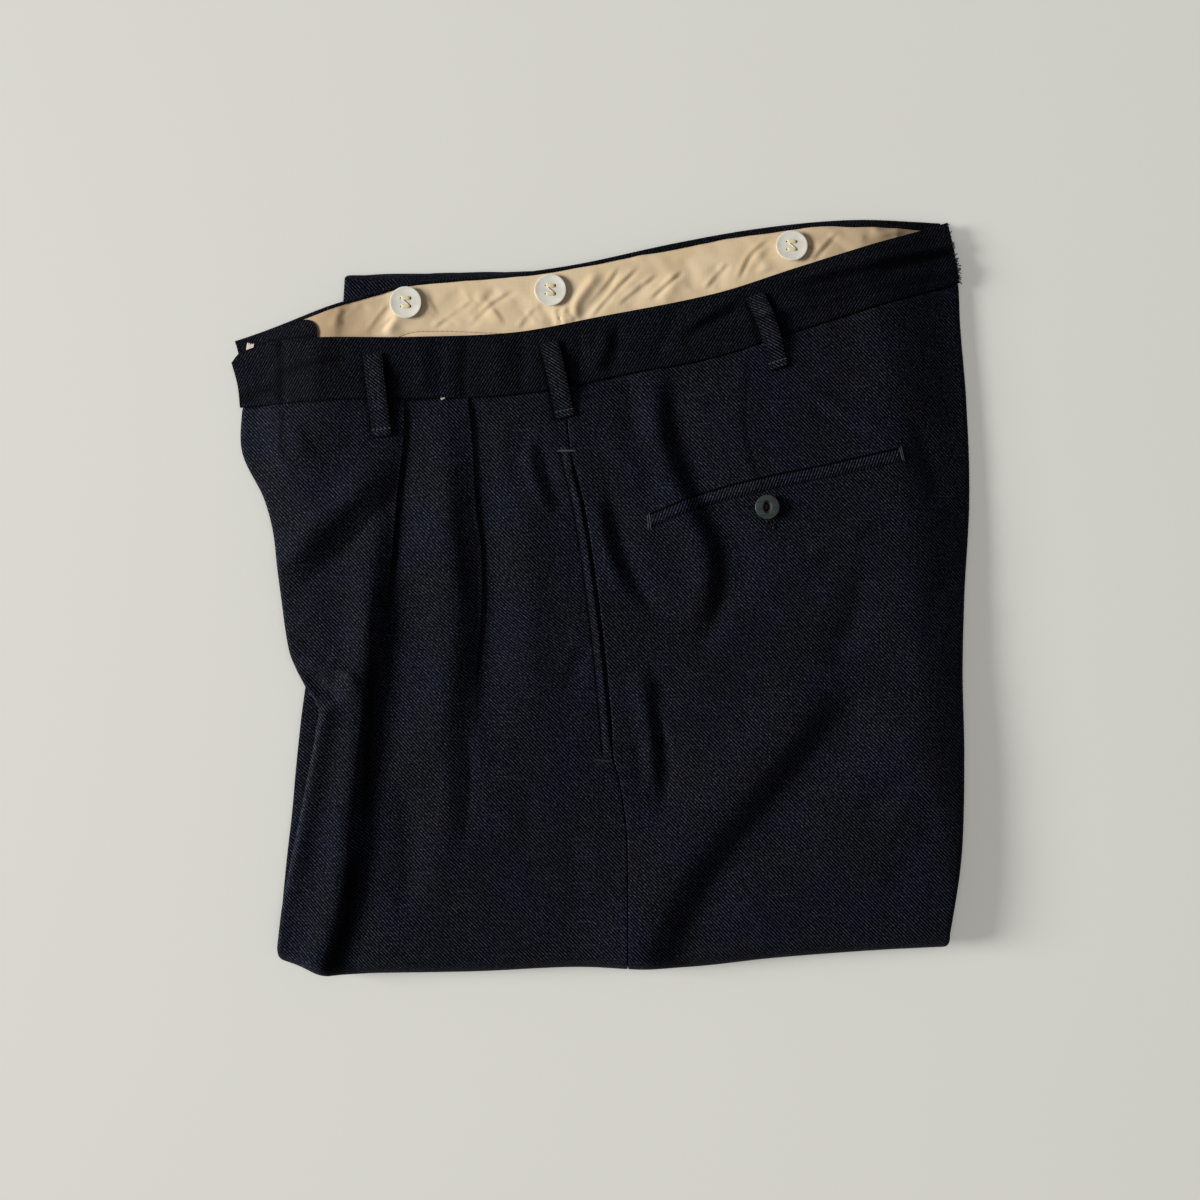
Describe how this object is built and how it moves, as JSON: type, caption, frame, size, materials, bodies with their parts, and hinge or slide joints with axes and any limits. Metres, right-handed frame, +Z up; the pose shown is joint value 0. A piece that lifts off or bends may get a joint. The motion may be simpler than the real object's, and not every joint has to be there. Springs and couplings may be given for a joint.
{
  "type": "folded slacks",
  "caption": "Dark twill slacks folded flat: pleated front, side pocket, welt back pocket, belt loops, and a lined waistband with brace buttons inside.",
  "frame": {"origin": "middle of the underside, where the folded garment lies on the surface", "axes": "+X towards the wearer's back, +Y towards the waist, +Z up off the surface"},
  "size_m": [0.4191, 0.429, 0.0247],
  "materials": {
    "suiting": "dark navy and charcoal fine wool twill, matt with a faint sheen",
    "lining": "cream cotton, plain weave, slightly wrinkled",
    "brace_button": "off-white, satin, four holes",
    "pocket_button": "dark slate green, polished, fish-eye centre"
  },
  "bodies": {
    "root": {"folded_legs": "suiting", "right_half": "suiting", "waistband_right": "suiting", "waistband_lining": "lining", "fly_extension": "suiting", "front_left": "suiting", "back_left": "suiting", "waistband_left": "suiting", "side_pocket_facing": "suiting", "back_pocket_welt": "suiting", "belt_loop_front": "suiting", "belt_loop_side": "suiting", "belt_loop_back": "suiting", "brace_button_1": "brace_button", "brace_button_2": "brace_button", "brace_button_3": "brace_button", "back_pocket_button": "pocket_button"}
  },
  "joints": []
}
